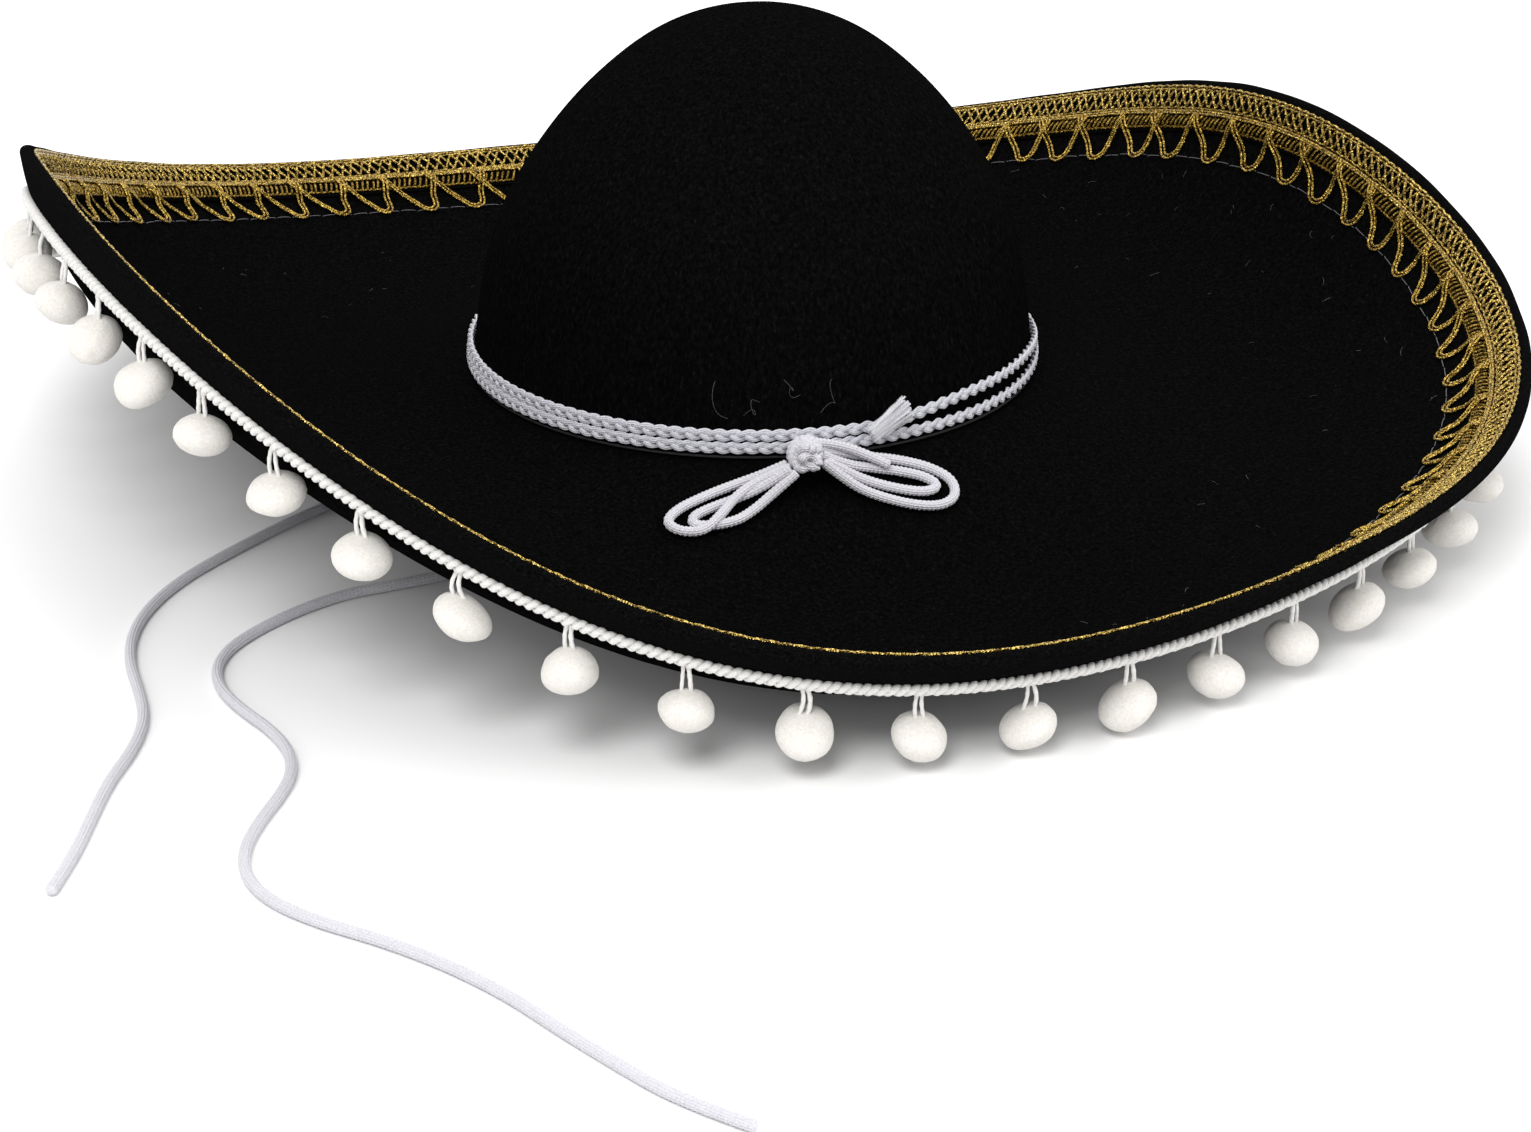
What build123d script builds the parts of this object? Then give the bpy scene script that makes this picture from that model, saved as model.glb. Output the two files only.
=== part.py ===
"""A wide felt sombrero: crown, wired brim, gold crochet braid, pompom fringe, hat band and chin cords.

Millimetres. Z is up, the front of the hat faces -Y, and z = 0 is the table that the brim rests on.
The origin lies on the table under the middle of the crown.
"""

import os
from math import cos, hypot, pi, radians, sin, tan

from build123d import *

# ---- driving dimensions ---------------------------------------------------------------------
felt = 2.0  # thickness of the crown and brim felt
gap = 0.12  # air left between layers that are sewn together

# Crown: a tall dome on a round head opening.
ring_height = 31.0  # height of the crown's base plane over the table
head_radius = 90.0  # outside of the felt at the base of the crown
crown_outline = [(90.0, 1.4), (87.5, 25.0), (81.5, 50.0), (69.5, 72.0), (53.5, 91.0), (31.0, 107.5)]
crown_top = 115.0

# Brim: twelve stations, one every 30 degrees from +X, counter-clockwise seen from above.
rim_reach = [222, 226, 248, 249, 255, 237, 222, 232, 246, 246, 243, 243]  # edge to crown axis
rim_height = [80, 70, 37, 30, 45, 89, 113, 96, 51, 33, 37, 50]  # edge above the table
rim_slope = [80, 64, 40, 38, 38, 72, 86, 72, 52, 42, 36, 40]  # degrees, how steeply the edge curls up
root_slope = [-17, -22, -33, -39, -30, -20, -14, -18, -30, -43, -30, -20]  # degrees, at the crown
root_pull = 0.38  # how far the root slope carries, as a share of the chord
rim_pull = 0.42  # how far the rim slope carries
station_step = 10  # degrees between loft sections
wall_samples = 8  # points that shape the brim's profile

# Rim: a folded felt binding over a steel wire.
wire_diameter = 1.4
wire_overhang = 1.3  # wire centre beyond the cut edge of the brim felt
binding = 1.0  # thickness of the binding felt
binding_top = 16.0  # width of its upper leg
binding_under = 11.5  # width of its outer leg
ferrule_bore = 1.5
ferrule_outside = 2.1
ferrule_span = (97, 100)  # degrees round the rim, at the back

# Gold crochet braid, measured inwards from the edge.
braid_height = 1.4
outer_chain = (1.5, 7.5)
braid_core = (7.9, 9.7)
inner_chain = (10.1, 15.0)
braid_loops = (16.4, 26.0)
loop_height = 1.2
loop_stitch_line = 24.5
loop_stitches = 96
stitch_length = 6.0

# Pompom fringe.
header_span = (9.5, 13.5)  # inwards from the edge, under the outer leg of the binding
header_depth = 1.8
pompoms_in_all = 48
first_pompom = 4.5  # degrees from +X
pompom_radius = 8.0
pompom_half_height = 6.2
stem_length = 7.5
stem_diameter = 1.1
stem_spread = 2.6  # the two strands of each stem, centre to centre
stem_end_gap = 1.0  # between a strand's end and the ball of its pompom
pompom_stand = 0.5  # between a pompom and the felt beside it
rest_clearance = 0.8  # the lowest pompoms stay this far above the table

# Hat band: two plaited braids, a knot and its bow.
band_height = 3.7  # of each plait, up the crown
band_depth = 2.6
band_foot = 3.4  # bottom of the lower plait over the crown's base
band_stand = 0.5  # the plaits lie this far off the felt
knot_middle = (-21.5, -98.5, 37.0)
knot_radius = 6.3
bow_cord = 3.0
sleeve_angle = 274.5
sleeve_size = (4.2, 9.0, 10.5)  # outwards, round the crown, upwards
sleeve_stand = 0.6  # air between the sleeve and the plaits
sleeve_rise = 11.7  # its middle over the crown's base

# Sweatband, seam and chin cords.
sweatband_rise = 22.0
sweatband_drop = 0.6
sweatband_thickness = 0.8
sweatband_stand = 0.4  # air between the sweatband and the felt
seam_thread = 0.8
tab_size = (1.6, 12.0, 12.0)
tab_stand = 0.3  # the tab's hem lies this far off the sweatband
chin_cord = 3.2

os.makedirs("parts", exist_ok=True)


# ---- brim geometry --------------------------------------------------------------------------
def around(stations, angle):
    """Smooth closed curve through evenly spaced stations, read at an angle in degrees."""
    count = len(stations)
    total = 0.0
    for index, value in enumerate(stations):
        away = radians(angle - 360 * index / count)
        if abs(sin(away / 2)) < 1e-9:
            return float(value)
        total += value * sin(count * away / 2) / (count * tan(away / 2))
    return total


def bezier(angle):
    """The four control points (r, z) of the brim's mid surface at an angle."""
    reach = around(rim_reach, angle)
    height = around(rim_height, angle)
    leave = radians(around(root_slope, angle))
    arrive = radians(around(rim_slope, angle))
    chord = hypot(reach - head_radius, height - ring_height)
    root = root_pull * chord
    rim = rim_pull * chord
    return [
        (head_radius, ring_height),
        (head_radius + root * cos(leave), ring_height + root * sin(leave)),
        (reach - rim * cos(arrive), height - rim * sin(arrive)),
        (reach, height),
    ]


def blend_point(points, share):
    """A point of a cubic curve."""
    weights = (
        (1 - share) ** 3,
        3 * share * (1 - share) ** 2,
        3 * share**2 * (1 - share),
        share**3,
    )
    return tuple(sum(w * p[axis] for w, p in zip(weights, points)) for axis in (0, 1))


profiles = {}


def profile(angle):
    """Mid surface from rim to crown as (distance from the rim, r, z), finely stepped."""
    if angle not in profiles:
        points = bezier(angle)
        steps = 160
        travelled = 0.0
        last = points[3]
        line = [(0.0, last[0], last[1])]
        for step in range(1, steps + 1):
            here = blend_point(points, 1 - step / steps)
            travelled += hypot(here[0] - last[0], here[1] - last[1])
            line.append((travelled, here[0], here[1]))
            last = here
        profiles[angle] = line
    return profiles[angle]


def on_brim(angle, inwards, above):
    """The (r, z) point that lies inwards from the rim along the felt and above its mid surface."""
    line = profile(angle)
    index = 0
    while index < len(line) - 2 and line[index + 1][0] < inwards:
        index += 1
    start, end = line[index], line[index + 1]
    span = end[0] - start[0]
    along_r = (start[1] - end[1]) / span
    along_z = (start[2] - end[2]) / span
    beyond = inwards - start[0]
    return (start[1] - along_r * beyond - along_z * above, start[2] - along_z * beyond + along_r * above)


def meridian(angle):
    """Upright plane through the crown's axis: local x runs outwards, local y up."""
    turn = radians(angle)
    return Plane(origin=(0, 0, 0), x_dir=(cos(turn), sin(turn), 0), z_dir=(sin(turn), -cos(turn), 0))


def place(angle, point):
    """Turns a (r, z) point at an angle into x, y, z."""
    turn = radians(angle)
    return (point[0] * cos(turn), point[0] * sin(turn), point[1])


def brim_width(angle):
    return profile(angle)[-1][0]


def half_ring(outline, first, last, step=station_step):
    """Lofts one stretch of a strip that runs round the rim. Outline gives its edges at an angle."""
    with BuildPart() as stretch:
        for angle in range(first, last + 1, step):
            with BuildSketch(meridian(angle)):
                with BuildLine():
                    for edge in outline(angle):
                        if len(edge) == 2:
                            Line(*edge)
                        elif len(edge) == 3:
                            ThreePointArc(*edge)
                        else:
                            Spline(*edge)
                make_face()
        loft()
    return stretch.part


def flat_strip(span, low, high):
    """Outline of a strip that lies along the felt: span inwards from the rim, low to high above it."""

    def outline(angle):
        middle = (span[0] + span[1]) / 2
        under = [on_brim(angle, s, low) for s in (span[0], middle, span[1])]
        over = [on_brim(angle, s, high) for s in (span[1], middle, span[0])]
        return [under, [under[2], over[0]], over, [over[2], under[0]]]

    return outline


def crown_inside(r, z):
    """Inside of the felt across from a point of the crown's outline."""
    return (r - felt, ring_height + z - felt * (z / crown_top) ** 2)


def finish(builder, name):
    """Labels a finished piece and writes it to its file."""
    builder.part.label = name
    export_step(builder.part, f"parts/{name}.step")


# ---- felt -----------------------------------------------------------------------------------
def brim_outline(angle):
    """Brim felt from its cut edge at the rim to the head opening."""
    width = brim_width(angle)
    stops = [width * k / wall_samples for k in range(wall_samples + 1)]
    over = [on_brim(angle, s, felt / 2) for s in stops]
    under = [on_brim(angle, s, -felt / 2) for s in reversed(stops)]
    return [over, [over[-1], under[0]], under, [under[-1], over[0]]]


with BuildPart() as brim:
    add(half_ring(brim_outline, 0, 180))
    add(half_ring(brim_outline, 180, 360))
    # The lowest parts, front and back, are pressed flat on the table.
    with Locations((0, 0, -10)):
        Box(600, 600, 20, mode=Mode.SUBTRACT)
finish(brim, "brim")

with BuildPart() as crown:
    with BuildSketch(Plane.XZ):
        with BuildLine():
            wall = Spline(
                *[(r, ring_height + z) for r, z in crown_outline],
                (0, ring_height + crown_top),
                tangents=[(-0.04, 1), (-1, 0)],
            )
            Line(wall @ 1, (0, ring_height + crown_top - felt))
            inside = Spline(
                (0, ring_height + crown_top - felt),
                *[crown_inside(r, z) for r, z in reversed(crown_outline)],
                tangents=[(1, 0), (0.04, -1)],
            )
            Line(inside @ 1, wall @ 0)
        make_face()
    revolve(axis=Axis.Z)
finish(crown, "crown")

# ---- rim ------------------------------------------------------------------------------------
inner_face = felt / 2 + gap
outer_face = inner_face + binding


def binding_outline(angle):
    """A felt strip folded over the brim's cut edge and the wire."""
    fold = -wire_overhang

    def leg(width, above, outwards):
        stops = [fold + (width - fold) * k / 3 for k in range(4)]
        return [on_brim(angle, s, above) for s in (reversed(stops) if outwards else stops)]

    top_inner = leg(binding_top, inner_face, True)
    bend_inner = [top_inner[-1], on_brim(angle, fold - inner_face, 0), on_brim(angle, fold, -inner_face)]
    under_inner = leg(binding_under, -inner_face, False)
    under_outer = leg(binding_under, -outer_face, True)
    bend_outer = [under_outer[-1], on_brim(angle, fold - outer_face, 0), on_brim(angle, fold, outer_face)]
    top_outer = leg(binding_top, outer_face, False)
    return [
        top_inner,
        bend_inner,
        under_inner,
        [under_inner[-1], under_outer[0]],
        under_outer,
        bend_outer,
        top_outer,
        [top_outer[-1], top_inner[0]],
    ]


def whole_ring(outline, name):
    """One strip all the way round the rim."""
    with BuildPart() as ring:
        add(half_ring(outline, 0, 180))
        add(half_ring(outline, 180, 360))
    finish(ring, name)


def wire_outline(diameter):
    """An eight-sided section round the wire's line, in the fold of the binding."""
    half = diameter / 2

    def outline(angle):
        turns = [radians(45 * step - 22.5) for step in range(9)]
        ring = [on_brim(angle, half * sin(turn) - wire_overhang, -half * cos(turn)) for turn in turns]
        return [ring[k : k + 2] for k in range(8)]

    return outline


whole_ring(binding_outline, "rim_binding")

whole_ring(wire_outline(wire_diameter), "rim_wire")

with BuildPart() as wire_ferrule:
    add(half_ring(wire_outline(ferrule_outside), *ferrule_span, step=1))
    add(half_ring(wire_outline(ferrule_bore), *ferrule_span, step=1), mode=Mode.SUBTRACT)
finish(wire_ferrule, "wire_ferrule")

# ---- gold braid -----------------------------------------------------------------------------
braid_foot = outer_face + gap
braid_top = braid_foot + braid_height
whole_ring(flat_strip(outer_chain, braid_foot, braid_top), "braid_outer_chain")
whole_ring(flat_strip(braid_core, braid_foot, braid_top), "braid_core")
whole_ring(flat_strip(inner_chain, braid_foot, braid_top), "braid_inner_chain")
whole_ring(flat_strip(braid_loops, inner_face, inner_face + loop_height), "braid_loops")


def along_rim(angle, inwards, above):
    """Direction of a line that runs round the rim."""
    ahead = Vector(*place(angle + 1, on_brim(angle + 1, inwards, above)))
    behind = Vector(*place(angle - 1, on_brim(angle - 1, inwards, above)))
    return (ahead - behind).normalized()


def standing(angle, inwards, above):
    """Place on the felt: local x runs round the rim, local y inwards, local z out of the felt."""
    here = Vector(*place(angle, on_brim(angle, inwards, above)))
    inner = Vector(*place(angle, on_brim(angle, inwards + 1, above)))
    round_x = along_rim(angle, inwards, above)
    return Location(Plane(origin=here, x_dir=round_x, z_dir=round_x.cross(inner - here)))


stitch_height = inner_face + loop_height + gap
stitch_angles = [360 * k / loop_stitches for k in range(loop_stitches)]
with BuildPart() as loop_stitching:
    with Locations(*[standing(a, loop_stitch_line, stitch_height + 0.25) for a in stitch_angles]):
        Box(stitch_length, 0.5, 0.5)
finish(loop_stitching, "loop_stitching")

# ---- pompom fringe --------------------------------------------------------------------------
header_face = outer_face + gap
whole_ring(flat_strip(header_span, -header_face - header_depth, -header_face), "header_tape")


def hang(angle):
    """Foot of the header and middle of the pompom that hangs from it, both as (r, z)."""
    foot = on_brim(angle, header_span[1] + 0.1, -header_face - header_depth / 2)
    r = foot[0]
    z = max(foot[1] - stem_length - pompom_half_height, pompom_half_height + rest_clearance)
    near = felt / 2 + pompom_radius + pompom_stand
    while min(hypot(r - p[1], z - p[2]) for p in profile(angle)) < near:
        r += 0.25
    return foot, (r, z)


with BuildPart() as pompom_form:
    Sphere(pompom_radius)
    Box(2 * pompom_radius, 2 * pompom_radius, 2 * pompom_half_height, mode=Mode.INTERSECT)

pompom_angles = [first_pompom + 360 * k / pompoms_in_all for k in range(pompoms_in_all)]
with BuildPart() as pompoms:
    with Locations(*[place(a, hang(a)[1]) for a in pompom_angles]):
        add(pompom_form.part)
finish(pompoms, "pompoms")


def stem_places():
    """Middle and direction of every stem strand, two to a pompom."""
    for angle in pompom_angles:
        foot, middle = hang(angle)
        top = Vector(*place(angle, foot))
        ball = Vector(*place(angle, middle))
        along = (ball - top).normalized()
        reach = (ball - top).length - pompom_radius - stem_end_gap
        side = along_rim(angle, header_span[1], -header_face)
        for sign in (-1, 1):
            start = top + along * header_depth / 2 + side * (sign * stem_spread / 2)
            yield Plane(origin=tuple(start), z_dir=tuple(along)), reach


with BuildPart() as pompom_stems:
    for plane, reach in stem_places():
        with BuildSketch(plane):
            Circle(stem_diameter / 2)
        extrude(amount=reach)
finish(pompom_stems, "pompom_stems")

# ---- hat band and bow -----------------------------------------------------------------------
lower_middle = band_foot + band_height / 2
upper_middle = lower_middle + band_height + gap


def crown_radius(height):
    """Outside radius of the crown at a height over its base, read along its outline."""
    for (r0, z0), (r1, z1) in zip(crown_outline, crown_outline[1:]):
        if height <= z1:
            return r0 + (r1 - r0) * (height - z0) / (z1 - z0)
    return 0.0


def band(height, name):
    """A plait pulled tight round the crown."""
    with BuildPart() as plait:
        with BuildSketch(Plane.XZ):
            with Locations((crown_radius(height) + band_stand + band_depth / 2, ring_height + height)):
                Ellipse(band_depth / 2, band_height / 2)
        revolve(axis=Axis.Z)
    finish(plait, name)


band(lower_middle, "hat_band_lower")
band(upper_middle, "hat_band_upper")

with BuildPart() as band_knot:
    with Locations(knot_middle):
        Sphere(knot_radius)
    # Its back lies flat against the two plaits.
    with BuildSketch():
        Circle(crown_radius(lower_middle) + band_stand + band_depth + gap)
    extrude(amount=100, mode=Mode.SUBTRACT)
finish(band_knot, "band_knot")

sleeve_turn = radians(sleeve_angle)
band_outside = crown_radius(lower_middle) + band_stand + band_depth
sleeve_reach = band_outside + gap + sleeve_stand + sleeve_size[0] / 2
with BuildPart() as band_end_sleeve:
    spot = (sleeve_reach * cos(sleeve_turn), sleeve_reach * sin(sleeve_turn), ring_height + sleeve_rise)
    with Locations(Location(spot, (0, 0, sleeve_angle))):
        Box(*sleeve_size)
        fillet(band_end_sleeve.edges().filter_by(Axis.Z), 1.5)
finish(band_end_sleeve, "band_end_sleeve")


def cord_path(points):
    """Straight runs joined by arcs as large as the runs allow. Returns the radii and the length."""
    spots = [Vector(*p) for p in points]
    radii = []
    length = (spots[1] - spots[0]).length
    for before, here, after in zip(spots, spots[1:], spots[2:]):
        came, goes = here - before, after - here
        half_turn = radians(came.get_angle(goes)) / 2
        radius = 0.45 * min(came.length, goes.length) / tan(half_turn)
        radii.append(radius)
        length += goes.length - 2 * radius * (tan(half_turn) - half_turn)
    return radii, length


def cord(points, diameter, name):
    """A cord's tube along its route."""
    radii, length = cord_path(points)
    with BuildPart() as tube:
        with BuildLine() as route:
            FilletPolyline(*points, radius=radii)
        with BuildSketch(Plane(origin=route.line @ 0, z_dir=route.line % 0)):
            Circle(diameter / 2)
        sweep()
    share = tube.part.volume / (pi * diameter**2 / 4 * length)
    print(name, "length", round(length, 1), "tightest", round(min(radii), 1), "volume share", round(share, 4))
    finish(tube, name)


cord(
    [
        (-27, -98, 35),
        (-34, -94.5, 31),
        (-43, -92.5, 28.2),
        (-53, -93.5, 26.2),
        (-61.5, -95.5, 24.4),
        (-66.5, -99.5, 22.7),
        (-64, -104.5, 21.2),
        (-57, -106.5, 21),
        (-50.5, -103.5, 24),
        (-44.5, -99, 27),
        (-36, -96.5, 30.5),
        (-26.5, -99.5, 34.5),
    ],
    bow_cord,
    "bow_loop_left_outer",
)
cord(
    [
        (-27, -101, 34.5),
        (-34, -98.8, 29.5),
        (-43, -97.5, 26),
        (-51.5, -97.8, 24.4),
        (-58, -99.5, 23.2),
        (-59, -102.8, 21.9),
        (-54, -104.3, 21.5),
        (-46, -104.5, 21.8),
        (-39.5, -102.5, 23.6),
        (-32.5, -101.5, 28),
        (-25.5, -102, 33.5),
    ],
    bow_cord,
    "bow_loop_left_inner",
)
cord(
    [
        (-16, -97, 38),
        (-8, -94.8, 34.6),
        (1, -94.6, 32),
        (10, -95.8, 30.2),
        (19, -98.5, 27.6),
        (25, -103, 24.3),
        (24, -108.5, 20.9),
        (18, -111, 19.6),
        (10, -109.5, 20.5),
        (2, -106.3, 22.6),
        (-5, -103.2, 25.4),
        (-11, -101.5, 30),
        (-16.5, -100.5, 35),
    ],
    bow_cord,
    "bow_loop_right_outer",
)
cord(
    [
        (-16, -98.5, 36.5),
        (-8, -97.6, 31.8),
        (1, -97.3, 29.4),
        (10, -99, 27.6),
        (17, -101.3, 25.6),
        (20, -104.5, 23.4),
        (15.5, -106, 22.6),
        (8.5, -104.6, 23.8),
        (1, -102, 25.8),
        (-6.5, -100, 29),
        (-15, -100, 34.8),
    ],
    bow_cord,
    "bow_loop_right_inner",
)
cord(
    [(-23, -97.5, 41.5), (-16, -97, 40), (-7.5, -96, 37), (0, -97.5, 33.5), (5.5, -100, 30.5)],
    bow_cord,
    "bow_tail",
)

# ---- sweatband, seam and chin cords ---------------------------------------------------------
sweat_outside = crown_radius(sweatband_rise) - felt - sweatband_stand
with BuildPart() as sweatband:
    with BuildSketch(Plane.XY.offset(ring_height - sweatband_drop)):
        Circle(sweat_outside)
        Circle(sweat_outside - sweatband_thickness, mode=Mode.SUBTRACT)
    extrude(amount=sweatband_rise)
finish(sweatband, "sweatband")

with BuildPart() as crown_seam:
    with BuildSketch(Plane.XZ):
        with Locations((head_radius + seam_thread, ring_height + 2.0)):
            Circle(seam_thread / 2)
    revolve(axis=Axis.Z)
finish(crown_seam, "crown_seam")


def cord_tab(angle, name):
    """A folded tape that holds a chin cord against the inside of the sweatband."""
    reach = sweat_outside - sweatband_thickness - gap - tab_stand - tab_size[0] / 2
    turn = radians(angle)
    with BuildPart() as tab:
        with Locations(Location((reach * cos(turn), reach * sin(turn), ring_height + 6), (0, 0, angle))):
            Box(*tab_size)
            fillet(tab.edges().filter_by(Axis.Z), 0.5)
    finish(tab, name)


cord_tab(0, "cord_tab_right")
cord_tab(182, "cord_tab_left")

floor_line = chin_cord / 2
cord(
    [
        (82, 0, 31),
        (82.3, 1, 20),
        (79.5, 4, 9),
        (70, 8, 3.2),
        (54, 15, floor_line),
        (30, 22, floor_line),
        (0, 28, floor_line),
        (-35, 31, floor_line),
        (-70, 28, floor_line),
        (-103, 20, floor_line),
        (-132, 7, floor_line),
        (-158, -8.5, floor_line),
        (-180, -24.5, floor_line),
        (-198, -39, floor_line),
        (-212, -55, floor_line),
        (-222, -73, floor_line),
        (-227.5, -93, floor_line),
        (-229, -113, floor_line),
        (-231.5, -132, floor_line),
        (-239, -150, floor_line),
        (-249.5, -167, floor_line),
        (-258.5, -187, floor_line),
        (-267, -206, floor_line),
        (-276, -222, floor_line),
    ],
    chin_cord,
    "chin_cord_right",
)
cord(
    [
        (-82, -3, 31),
        (-83, -5.5, 20),
        (-86, -13, 10.5),
        (-90, -25.5, 4),
        (-97.5, -41, floor_line),
        (-108.5, -56, floor_line),
        (-123, -66, floor_line),
        (-140, -68, floor_line),
        (-157, -69, floor_line),
        (-173, -75.5, floor_line),
        (-188, -85, floor_line),
        (-199.5, -95.5, floor_line),
        (-206, -108, floor_line),
        (-207.5, -122, floor_line),
        (-205, -137, floor_line),
        (-201, -151, floor_line),
        (-199.5, -165, floor_line),
        (-202, -179, floor_line),
        (-208.5, -191, floor_line),
        (-217, -203, floor_line),
        (-225, -217, floor_line),
        (-228.5, -232, floor_line),
        (-226, -247, floor_line),
        (-217.5, -262, floor_line),
        (-205, -277, floor_line),
        (-193.5, -295, floor_line),
        (-184.5, -314, floor_line),
        (-178, -334, floor_line),
        (-171, -353, floor_line),
        (-163, -373, floor_line),
        (-151, -390, floor_line),
    ],
    chin_cord,
    "chin_cord_left",
)
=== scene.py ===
import bmesh
import bpy
import numpy as np
from math import atan2, cos, hypot, pi, radians, sin
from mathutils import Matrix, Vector


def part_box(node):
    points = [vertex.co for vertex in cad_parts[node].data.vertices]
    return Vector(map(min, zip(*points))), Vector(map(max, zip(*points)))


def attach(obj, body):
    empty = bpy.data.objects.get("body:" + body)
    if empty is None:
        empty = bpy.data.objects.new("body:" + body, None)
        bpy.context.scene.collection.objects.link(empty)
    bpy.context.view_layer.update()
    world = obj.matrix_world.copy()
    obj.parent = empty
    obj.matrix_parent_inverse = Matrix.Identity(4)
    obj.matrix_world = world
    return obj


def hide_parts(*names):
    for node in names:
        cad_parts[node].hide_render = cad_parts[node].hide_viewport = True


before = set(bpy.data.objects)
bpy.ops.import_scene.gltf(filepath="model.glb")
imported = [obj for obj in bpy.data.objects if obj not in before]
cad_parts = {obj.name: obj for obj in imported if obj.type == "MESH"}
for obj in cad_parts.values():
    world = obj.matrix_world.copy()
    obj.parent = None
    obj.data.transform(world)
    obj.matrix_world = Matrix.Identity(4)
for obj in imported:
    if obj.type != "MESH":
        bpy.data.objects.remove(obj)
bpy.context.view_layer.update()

MM = 0.001
BODY = "root"
rng = np.random.default_rng(7)

# ---- sizes shared with the CAD source, in millimetres ----
FELT = 2.0
RING_HEIGHT = 31.0
HEAD_RADIUS = 90.0
CROWN_TOP = 115.0
CROWN_BASE = 0.4  # the crown goes down to the brim, whose felt starts round it
# The crown's outside, radius and height over the base, up to where its rounded top starts
CROWN_OUTLINE = [(90.0, 1.4), (87.5, 25.0), (81.5, 50.0), (69.5, 72.0), (53.5, 91.0), (31.0, 107.5)]
CROWN_ROUND = (17.0, 112.6)  # a point on the rounded top
# The brim at every 30 degrees from +x, counter-clockwise seen from above
RIM_REACH = [222, 226, 248, 249, 255, 237, 222, 232, 246, 246, 243, 243]
RIM_HEIGHT = [80, 70, 37, 30, 45, 89, 113, 96, 51, 33, 37, 50]
RIM_SLOPE = [80, 64, 40, 38, 38, 72, 86, 72, 52, 42, 36, 40]
ROOT_SLOPE = [-17, -22, -33, -39, -30, -20, -14, -18, -30, -43, -30, -20]
ROOT_PULL = 0.38
RIM_PULL = 0.42
GAP = 0.12  # between the brim and its folded binding
BINDING = 1.0
BINDING_TOP = 16.0
BINDING_UNDER = 11.5
WIRE_OVERHANG = 1.3  # the binding goes this far past the rim, round the wire
POMPOMS = 48
FIRST_POMPOM = 4.5
POMPOM_RISE = 6.2
STEM_DROP = 7.5
POMPOM_LOWEST = 7.0
POMPOM_REACH = 9.5  # a pompom's middle keeps this far from the middle of the felt
KNOT_MIDDLE = (-21.5, -98.5, 37.0)
CHIN_CORD = 3.2
BOW_CORD = 3.0


# ---- routes of the cords, control points in millimetres ----
BOW_LOOP_LEFT_OUTER = [
    (-27, -98, 35), (-34, -94.5, 31), (-43, -92.5, 28.2), (-53, -93.5, 26.2), (-61.5, -95.5, 24.4),
    (-66.5, -99.5, 22.7), (-64, -104.5, 21.2), (-57, -106.5, 21), (-50.5, -103.5, 24), (-44.5, -99, 27),
    (-36, -96.5, 30.5), (-26.5, -99.5, 34.5),
]
BOW_LOOP_LEFT_INNER = [
    (-27, -101, 34.5), (-34, -98.8, 29.5), (-43, -97.5, 26), (-51.5, -97.8, 24.4), (-58, -99.5, 23.2),
    (-59, -102.8, 21.9), (-54, -104.3, 21.5), (-46, -104.5, 21.8), (-39.5, -102.5, 23.6), (-32.5, -101.5, 28),
    (-25.5, -102, 33.5),
]
BOW_LOOP_RIGHT_OUTER = [
    (-16, -97, 38), (-8, -94.8, 34.6), (1, -94.6, 32), (10, -95.8, 30.2), (19, -98.5, 27.6),
    (25, -103, 24.3), (24, -108.5, 20.9), (18, -111, 19.6), (10, -109.5, 20.5), (2, -106.3, 22.6),
    (-5, -103.2, 25.4), (-11, -101.5, 30), (-16.5, -100.5, 35),
]
BOW_LOOP_RIGHT_INNER = [
    (-16, -98.5, 36.5), (-8, -97.6, 31.8), (1, -97.3, 29.4), (10, -99, 27.6), (17, -101.3, 25.6),
    (20, -104.5, 23.4), (15.5, -106, 22.6), (8.5, -104.6, 23.8), (1, -102, 25.8), (-6.5, -100, 29),
    (-15, -100, 34.8),
]
BOW_TAIL = [
    (-23, -97.5, 41.5), (-16, -97, 40), (-7.5, -96, 37), (0, -97.5, 33.5), (5.5, -100, 30.5),
]
BOWS = {
    "bow_loop_left_outer": BOW_LOOP_LEFT_OUTER,
    "bow_loop_left_inner": BOW_LOOP_LEFT_INNER,
    "bow_loop_right_outer": BOW_LOOP_RIGHT_OUTER,
    "bow_loop_right_inner": BOW_LOOP_RIGHT_INNER,
    "bow_tail": BOW_TAIL,
}
CHIN_CORD_RIGHT = [
    (82, 0, 31), (82.3, 1, 20), (79.5, 4, 9), (70, 8, 3.2), (54, 15, 1.6),
    (30, 22, 1.6), (0, 28, 1.6), (-35, 31, 1.6), (-70, 28, 1.6), (-103, 20, 1.6),
    (-132, 7, 1.6), (-158, -8.5, 1.6), (-180, -24.5, 1.6), (-198, -39, 1.6), (-212, -55, 1.6),
    (-222, -73, 1.6), (-227.5, -93, 1.6), (-229, -113, 1.6), (-231.5, -132, 1.6), (-239, -150, 1.6),
    (-249.5, -167, 1.6), (-258.5, -187, 1.6), (-267, -206, 1.6), (-276, -222, 1.6),
]
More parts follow.
